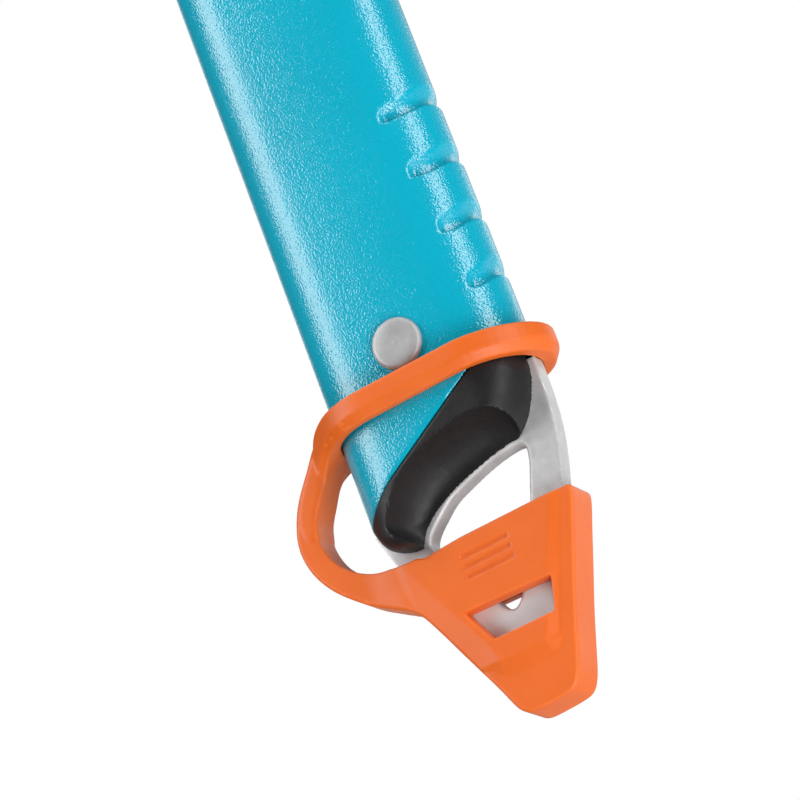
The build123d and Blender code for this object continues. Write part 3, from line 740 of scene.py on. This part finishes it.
CAVITY = [                                        # room for the blade
    (-15, -25), (-14.5, -27.7), (-13.2, -31), (-11.6, -34.5), (-9.4, -39.5), (-7.5, -43.6),
    (-5.5, -47.5), (-3.2, -50.8), (-1.5, -52), (0, -52.3), (1.6, -51.9), (3.6, -50.5),
    (5.9, -47.3), (7.9, -43), (10.1, -37.5), (12.2, -32.1), (13.6, -27.1), (14.5, -25)]
guard_outline = low_outline(GUARD)
strap_outline = low_outline(STRAP)
panel_outline = low_outline(PANEL, cuts=1)
window_outline = low_outline(WINDOW, cuts=1)
collar_side = low_outline(COLLAR_SIDE, cuts=3)
above_under = low_outline(UNDER + [(-23.7, -30), (-60, -30), (-60, 40), (40, 40)], cuts=3)
cavity_outline = low_outline(CAVITY, cuts=0)
STRAP_HALF = 2.95                                 # half thickness of the strap
SWELL = 0.80                                      # extra half thickness round the blade


def collar_plan():
    """The collar from above: round nose at +X, tails meeting the strap at -X."""
    radius = EDGE_R + 2.45
    tip, centre = np.array([-20.2, STRAP_HALF]), np.array([-FLAT, 0.0])
    to_centre = centre - tip
    reach = np.hypot(*to_centre)
    # the straight tail touches the back arc where it is tangent
    angle = math.atan2(to_centre[1], to_centre[0]) + math.asin(radius / reach)
    tangent = tip + math.sqrt(reach * reach - radius * radius) * np.array(
        [math.cos(angle), math.sin(angle)])
    last = math.atan2(tangent[1] - centre[1], tangent[0] - centre[0])
    nose, arc = [], []
    for i in range(25):                           # thicker at the very front
        a = math.radians(-90 + 180 * i / 24)
        stretch = 1 + 0.085 * math.cos(a) ** 2
        nose.append((FLAT + radius * stretch * math.cos(a), radius * math.sin(a)))
    for i in range(13):
        a = math.pi / 2 + (last - math.pi / 2) * i / 12
        arc.append((centre[0] + radius * math.cos(a), radius * math.sin(a)))
    tail = [tuple(tip), (-40.0, STRAP_HALF), (-40.0, 0), (-40.0, -STRAP_HALF), (tip[0], -tip[1])]
    return nose + arc + tail + [(x, -y) for x, y in arc[::-1]]


collar_outline = Outline(collar_plan(), cuts=0)


def guard_shape(x, y, z):
    ay = np.abs(y)
    zr = z - RIVET_Z
    # pocket with a raised panel that stands out more towards the point
    rise = 0.38 + 0.60 * np.clip((-28.5 - zr) / 19.0, 0, 1)
    past_rear = -((x + 12.45) * 0.907 + (zr + 28.9) * 0.4214)    # beyond the -X edge
    lower = smoothstep(-0.3, 0.6, -47.6 - zr)                    # below the lower edge
    slope_width = 1.5 + 0.7 * lower + 1.9 * smoothstep(-0.8, 0.4, past_rear) * (1 - lower)
    slope = 1 - np.clip(panel_outline(x, z) / slope_width, 0, 1)
    half = (STRAP_HALF + SWELL * smoothstep(-19.5, -13.6, x)
            + rise * slope * smoothstep(-14.2, -12.6, x))
    sides = soft_min(guard_outline(x, z), strap_outline(x, z), 1.2)
    d = round_meet(sides, (ay - half) * 0.95, 0.45)
    # one soft ridge runs round the collar and on down the strap's inner edge
    droop = 0.25 * smoothstep(8, 18, x)
    from_under = 1.3 * smoothstep(-15.5, -7.5, zr) + above_under(x, z + droop)

    def ridge(side):
        return (1.7 * side + 1.3 * from_under) / 2.14

    d = np.where(zr > -20.5, soft_max(d, ridge(ay - STRAP_HALF), 0.15), d)
    plan = collar_outline(x, y)
    collar = round_meet(plan, collar_side(x, z + droop), 0.35)
    d = soft_min(d, soft_max(collar, ridge(plan), 0.22), 0.6)
    # shaft opening, blade cavity and window, which is higher on the +Y side
    d = np.where(zr > -16, soft_max(d, -stadium(x, y, FLAT, EDGE_R + 0.1), 0.25), d)
    d = soft_max(d, -np.maximum(cavity_outline(x, z), ay - (BLADE_HALF + 0.1)), 0.15)
    window = window_outline(x, z - 1.3 * smoothstep(1.0, 2.4, y))
    d = soft_max(d, -(window - 0.35 * np.maximum(ay - (half - 0.4), 0)), 0.15)
    # three short grooves on each face
    for k in (-1, 0, 1):
        line = np.hypot(np.maximum(np.abs(x + 0.3) - 3.6, 0), zr + 33.0 + 1.55 * k)
        depth = ay - (STRAP_HALF + SWELL + rise + 0.10)
        d = soft_max(d, 0.5 * (0.42 - np.hypot(line * 1.15, depth)), 0.15)
    return d


build("spike_guard_moulding",
      mesh_surface(guard_shape, (-27.4, -GUARD_HALF - 0.3, RIVET_Z - 56.4),
                   (19.6, GUARD_HALF + 0.3, RIVET_Z - 4.0), 0.26),
      ORANGE, "spike_guard", body="guard")

# ---------------------------------------------------------------- pick (head coordinates)
TOOTH, TEETH = 6.6, 14                            # pitch and number
PIN_HOLES = [(0, z) for z in HEAD_PIN_Z.values()]
RIVET_HOLES = [(ADZE_RIVET_X, z) for z in ADZE_RIVET_Z.values()]
BOLT_HOLE = [(BOLT_X, BOLT_Z)]


def tooth_line(x):
    return 11.6 - 0.00215 * (x - 55) ** 2


PICK_UNDER = [(-22, 4.1), (-9, 4.1), (-9, -39.5), (9, -39.5), (9, 4.1), (24, 5), (36, 8.6),
              (48, 11.2), (56, 11.8)]
PICK_TOP = [(158.5, -12.3), (148, -2.2), (136, 5.6), (122, 13), (106, 19.4), (88, 25),
            (68, 29.6), (46, 33), (24, 34.8), (0, 35.2), (-22, 33)]
teeth = []
for i in range(TEETH):
    x = 60 + i * TOOTH
    base, following = tooth_line(x), tooth_line(x + TOOTH)
    teeth += [(x, base - 2.6), (x + 2.2, base + 0.2), (x + 4.6, 0.5 * (base + following) + 0.1)]
PICK = PICK_UNDER + teeth + [(153.0, -12.6)] + PICK_TOP
# sharp: the tang, each tooth's point, the tip and the last corner
pick_sharp = {*range(5), *range(9, 9 + 3 * TEETH, 3), 51, 52, len(PICK) - 1}
pick_outline = Outline(PICK, keep=pick_sharp, step=0.2)


def pick_shape(x, y, z):
    ay = np.abs(y)
    half = PICK_HALF - np.clip((x - 112) / 50.0, 0, 1) * 1.35
    outline = pick_outline(x, z)
    d = round_meet(outline, ay - half, 0.3)
    # bevel round the outline, wider towards the tip
    bevel = np.clip((x - 40) / 80.0, 0, 1)
    d = soft_max(d, (outline * 0.8 + (ay - half) + 1.2 * bevel + 0.25) * 0.72, 0.1)
    # shallow fuller on each face
    fuller = np.hypot(np.maximum(np.abs(x - 62) - 30, 0),
                      z - (22.5 - 0.0021 * (x - 55) ** 2)) - 3.2
    d = soft_max(d, -np.maximum(fuller * 0.9, (half - 0.45) - ay), 0.25)
    d = soft_max(d, -(np.hypot(x - EYE[0], z - EYE[1]) - EYE_R), 0.25)
    d = drill(d, x, z, BOLT_HOLE, BOLT_HOLE_R)
    return drill(d, x, z, PIN_HOLES, PIN_HOLE_R)


build("pick_forged",
      mesh_surface(pick_shape, (-22.5, -PICK_HALF, -40), (159, PICK_HALF, 36), 0.40),
      PICK_STEEL, "pick", in_head=True)

# ---------------------------------------------------------------- adze (head coordinates)
ADZE_EDGE = -88.0                                 # x of the cutting edge
TANG = [(-22.1, 4.6), (-22.1, 32.8), (-40, 29), (-44, 26), (-45, 21), (-44, 17), (-40, 11),
        (-34, 6.5)]
tang_outline = Outline(TANG, keep=(0, 1), step=0.2)


def adze_shape(x, y, z):
    """Tang plate and a dished blade that widens and thins to its edge."""
    ay = np.abs(y)
    tang = round_meet(tang_outline(x, z), ay - PICK_HALF, 0.3)
    q = np.clip((-41 - x) / 47.0, 0, 1)           # 0 at the neck, 1 at the edge
    half_width = 4.5 + 23.5 * smoothstep(0, 1, q ** 0.85 * 1.02)
    thickness = 4.3 * (1 - q) ** 1.6 + 1.15
    middle = 21.5 - 3.2 * q - 14.0 * q ** 2
    dish = 2.6 * q * (ay / 28.0) ** 2
    height = z - (middle - dish)
    blade = round_meet(ay - half_width, np.abs(height) - thickness, 0.5) * 0.8
    blade = round_meet(blade, np.maximum(ADZE_EDGE - x, x + 39.0), 0.4)
    # ground cutting edge, on the upper face
    blade = soft_max(blade, (height - (-0.9 + (x - ADZE_EDGE) * 0.42)) * 0.8, 0.1)
    return drill(soft_min(tang, blade, 1.6), x, z, RIVET_HOLES, RIVET_HOLE_R)


build("adze_forged", mesh_surface(adze_shape, (-88.6, -28.4, -0.5), (-21.8, 28.4, 33.2), 0.42),
      PICK_STEEL, "adze", in_head=True)

# ---------------------------------------------------------------- head cheeks
CHEEK_POINTS = [(-33, 8.2), (-24, 4.4), (22, 4.4), (29, 9.5), (31, 18), (28, 27), (20, 31.6),
                (0, 32.6), (-22, 30.6), (-34, 27.5), (-37, 21), (-36.5, 13)]
cheek_outline = Outline(CHEEK_POINTS, cuts=3, step=0.15)


def cheek_shape(x, y, z):
    """The plate on the -Y side."""
    q = -y - (PICK_HALF + 0.02)
    outline = cheek_outline(x, z)
    d = round_meet(outline, np.maximum(q - CHEEK, -q), 0.12)
    d = soft_max(d, (outline + (q - CHEEK) + 1.1) * 0.72, 0.25)  # broad bevel
    # upright pocket on the -X side of the eye
    pocket = np.hypot(x + 17.5, np.maximum(np.abs(z - 19.0) - 6.5, 0)) - 2.6
    d = soft_max(d, -np.maximum(pocket, (CHEEK - 0.9) - q), 0.3)
    eye = np.hypot(x - EYE[0], z - EYE[1]) - EYE_R
    d = soft_max(d, -(eye - np.maximum(q - (CHEEK - 0.9), 0) * 0.9), 0.15)
    d = drill(d, x, z, BOLT_HOLE, BOLT_HOLE_R)
    return drill(d, x, z, RIVET_HOLES, RIVET_HOLE_R)


cheek = mesh_surface(cheek_shape, (-37.5, -PICK_HALF - 3.3, 4.0),
                     (31.5, -PICK_HALF + 0.2, 33.0), 0.34)
build("head_cheek_front_plate", cheek, CHEEK_COAT, "head_cheek_front",
      in_head=True)
build("head_cheek_back_plate", mirrored(cheek), CHEEK_COAT, "head_cheek_back",
      in_head=True)


# ---------------------------------------------------------------- head core
def core_shape(x, y, z):
    """A flange over a plug in the tube, slotted for the pick's tang."""
    flange = round_meet(stadium(x, y, FLAT, EDGE_R), np.abs(z - 2.5) - 1.5, 0.6)
    plug = np.maximum(stadium(x, y, FLAT, EDGE_R - WALL - 0.1), np.maximum(z - 1.5, -46 - z))
    slot = np.maximum(np.maximum(np.abs(x) - 9.1, np.abs(y) - PICK_HALF - 0.05), -40 - z)
    d = soft_max(np.minimum(flange, plug), -slot, 0.2)
    return drill(d, x, z, PIN_HOLES, PIN_HOLE_R)


build("head_core_plug", mesh_surface(core_shape, (-16.4, -8.8, -46.3), (16.4, 8.8, 4.3), 0.4),
      CORE_ALLOY, "head_core", in_head=True)

# ---------------------------------------------------------------- head rivets and pins
# one domed end: share of the head's radius, share of its height
DOME = ((0, 1), (0.35, 0.98), (0.62, 0.86), (0.85, 0.6), (0.97, 0.28))


def head_point(x, y, z):
    return TOP + x * FORWARD + z * UP + np.array([0, y, 0])


def pin(part, x, z, half_length, radius, head_r, head_height):
    """A shank along y with a dome on both ends."""
    head = [(head_r * r, head_height * h) for r, h in DOME] + [(head_r, 0.02), (radius, 0.0)]
    profile = head + [(r, -2 * half_length - h) for r, h in reversed(head)]
    build(part + "_domed", lathe(profile, head_point(x, -half_length, z), -1, 80),
          RIVET_STEEL, part, sharp=40)


for level, z in ADZE_RIVET_Z.items():
    pin(f"adze_rivet_{level}", ADZE_RIVET_X, z, half_length=CHEEK_OUT, radius=2.0,
        head_r=3.6, head_height=1.2)
for level, z in HEAD_PIN_Z.items():
    pin(f"head_pin_{level}", 0, z, half_length=EDGE_R + 0.02, radius=2.5,
        head_r=4.2, head_height=1.0)


# ---------------------------------------------------------------- head bolt, nut and washer
def bolt_shape(x, y, z):
    """Domed socket head at -Y and threaded shank; x and z from the bolt's axis."""
    r = np.hypot(x, z)
    q = -y - CHEEK_OUT
    head = round_meet(r - 5.25, np.maximum(q - 3.2, -q), 0.3)
    head = soft_max(head, (np.hypot(r, np.maximum(q + 3.2, 0)) - 6.75) * 0.95, 0.2)
    head = soft_max(head, -np.maximum(hexagon(x, z, 2.0), 1.1 - q), 0.12)
    shank = round_meet(r - 3.0, np.maximum(q - 0.5, -q - (2 * CHEEK_OUT + 7.0)), 0.35)
    turns = np.mod(y + np.arctan2(z, x) / (2 * np.pi), 1.0)
    thread = 0.16 * np.abs(turns * 2 - 1) * (q < -(2 * CHEEK_OUT))
    return np.minimum(head, shank + thread)


def nut_shape(x, y, z):
    r = np.hypot(x, z)
    q = y - (CHEEK_OUT + 1.22)
    d = round_meet(hexagon(z, x, 5.0), np.maximum(q - 4.8, -q), 0.12)
    d = soft_max(d, (r - 5.5 + np.maximum(q - 4.2, 0) * 1.4) * 0.6, 0.1)
    return np.maximum(d, -(r - 3.06 - np.maximum(q - 4.3, 0) * 0.8))


def on_bolt_axis(mesh):
    return mesh[0] + np.array([BOLT_X, 0, BOLT_Z]), mesh[1]


bolt = mesh_surface(bolt_shape, (-5.5, -CHEEK_OUT - 3.6, -5.5), (5.5, CHEEK_OUT + 7.3, 5.5), 0.26)
build("head_bolt_socket", on_bolt_axis(bolt), BOLT_ZINC, "head_bolt", in_head=True)
nut = mesh_surface(nut_shape, (-6.1, CHEEK_OUT + 0.9, -6.1), (6.1, CHEEK_OUT + 6.3, 6.1), 0.25)
build("head_nut_hex", on_bolt_axis(nut), BOLT_ZINC, "head_nut", in_head=True)
WASHER = [(3.06, 0.02), (5.9, 0.02), (6, 0.14), (6, 1.02), (5.86, 1.16), (3.2, 1.18),
          (3.06, 1.05), (3.06, 0.02)]
build("head_washer_flat", lathe(WASHER, head_point(BOLT_X, CHEEK_OUT, BOLT_Z), 1, 96),
      BOLT_ZINC, "head_washer", sharp=40)

# the seal stays as its CAD piece
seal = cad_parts["head_seal"]
seal.data.materials.clear()
seal.data.materials.append(SEAL_RUBBER)


# ---------------------------------------------------------------- floor
def floor(half=4.0, z=-0.17):
    m = Material("pale_floor")
    colour = m.ramp(m.noise(scale=3), shade([0.010] * 3, 1), shade([0.014] * 3, 1),
                    at=(0.3, 0.7))
    material = m.done(colour, rough=0.95, spec=0.0,
                      Emission_Color=(1, 1, 1, 1), Emission_Strength=0.84)
    data = bpy.data.meshes.new("floor")
    data.from_pydata([(-half, -half, z), (half, -half, z), (half, half, z), (-half, half, z)],
                     [], [(0, 1, 2, 3)])
    ob = bpy.data.objects.new("floor", data)
    scene.collection.objects.link(ob)
    data.materials.append(material)
    # seen by the camera, but does not block the softboxes below it
    ob.visible_shadow = ob.visible_diffuse = ob.visible_glossy = ob.visible_transmission = False


scene = bpy.context.scene
floor()


# ---------------------------------------------------------------- world
def studio_world():
    """White to the camera; as light, bright on one side of the view and dim elsewhere."""
    world = bpy.data.worlds.new("studio")
    scene.world = world
    world.use_nodes = True
    tree = world.node_tree
    tree.nodes.clear()
    white = (1, 1, 1, 1)
    output = add_node(tree, "OutputWorld")
    seen = add_node(tree, "Background", {"Color": white, "Strength": 1.0})
    ambient = add_node(tree, "Background", {"Color": white})
    coords = add_node(tree, "TexCoord")
    in_view = add_node(tree, "VectorTransform", {0: coords.outputs["Generated"]},
                       vector_type="VECTOR", convert_from="WORLD", convert_to="CAMERA")
    towards = add_node(tree, "VectorMath", {0: in_view.outputs[0], 1: (0.55, -0.25, 0.80)},
                       operation="DOT_PRODUCT")
    strength = add_node(tree, "MapRange", {"From Min": 0.35, "From Max": 0.95, "To Min": 0.06,
                                           "To Max": 0.55, "Value": towards.outputs["Value"]},
                        interpolation_type="SMOOTHSTEP")
    feed(tree, ambient, {"Strength": strength.outputs[0]})
    path = add_node(tree, "LightPath")
    mix = add_node(tree, "MixShader")
    tree.links.new(path.outputs["Is Camera Ray"], mix.inputs["Fac"])
    tree.links.new(ambient.outputs[0], mix.inputs[1])
    tree.links.new(seen.outputs[0], mix.inputs[2])
    tree.links.new(mix.outputs[0], output.inputs["Surface"])


studio_world()
scene.view_settings.view_transform = "Standard"
scene.view_settings.look = "None"

# ---------------------------------------------------------------- camera
YAW, PITCH, ROLL = 0.3329907644, 0.3629234297, -0.3616857535     # radians
AIM_X, AIM_Z = -5.562939926, -4.37640952637       # mm from the lower rivet
CAMERA_DISTANCE = 535.0                           # mm
LENS = 167.23548986                               # mm


def place_camera():
    back = np.array([math.sin(YAW) * math.cos(PITCH), -math.cos(YAW) * math.cos(PITCH),
                     -math.sin(PITCH)])
    level = np.array([math.cos(YAW), math.sin(YAW), 0.0])
    upright = np.cross(back, level)
    right = math.cos(ROLL) * level + math.sin(ROLL) * upright
    up = -math.sin(ROLL) * level + math.cos(ROLL) * upright
    place = (np.array([AIM_X, 0, AIM_Z + RIVET_Z]) + CAMERA_DISTANCE * back) * MM
    data = bpy.data.cameras.new("camera")
    data.sensor_width = 36.0
    data.lens = LENS
    data.clip_start, data.clip_end = 0.01, 50
    ob = bpy.data.objects.new("camera", data)
    scene.collection.objects.link(ob)
    rows = [(right[i], up[i], back[i], place[i]) for i in range(3)]
    ob.matrix_world = Matrix(rows + [(0, 0, 0, 1)])
    scene.camera = ob


place_camera()

# ---------------------------------------------------------------- lights
# name, azimuth from -Y towards +X (deg), elevation (deg), distance, width, height,
# radiance, height of the point on the z axis it aims at (m)
SOFTBOXES = (
    ("soft_left", -52, 22, 1.25, 0.72, 1.5, 4.9, 0.30),
    ("soft_right", 66, 8, 1.25, 0.40, 1.9, 5.6, 0.30),
    ("soft_cove", 38, -44, 0.9, 0.50, 0.50, 7.5, 0.03),
    ("soft_low_right", 100, -45, 1.1, 0.7, 0.7, 2.1, 0.05),
    ("soft_below", -20, -75, 0.9, 1.0, 1.0, 1.3, 0.05),
    ("soft_top", 10, 68, 1.3, 1.0, 0.8, 2.6, 0.30),
    ("soft_behind_right", 160, 16, 1.4, 0.5, 0.6, 1.3, 0.0),
    ("soft_back_left", -150, 20, 1.4, 0.5, 1.2, 1.0, 0.30))

for name, azimuth, elevation, distance, width, height, radiance, aim_z in SOFTBOXES:
    a, e = math.radians(azimuth), math.radians(elevation)
    aim = Vector((0, 0, aim_z))
    away = Vector((math.sin(a) * math.cos(e), -math.cos(a) * math.cos(e), math.sin(e)))
    light = bpy.data.lights.new(name, "AREA")
    light.energy = radiance * math.pi * width * height
    light.shape = "RECTANGLE"
    light.size, light.size_y = width, height
    ob = bpy.data.objects.new(name, light)
    scene.collection.objects.link(ob)
    ob.location = away * distance + aim
    ob.rotation_euler = (aim - ob.location).to_track_quat("-Z", "Y").to_euler()
    ob.visible_camera = False
bpy.data.objects["soft_below"].visible_glossy = False
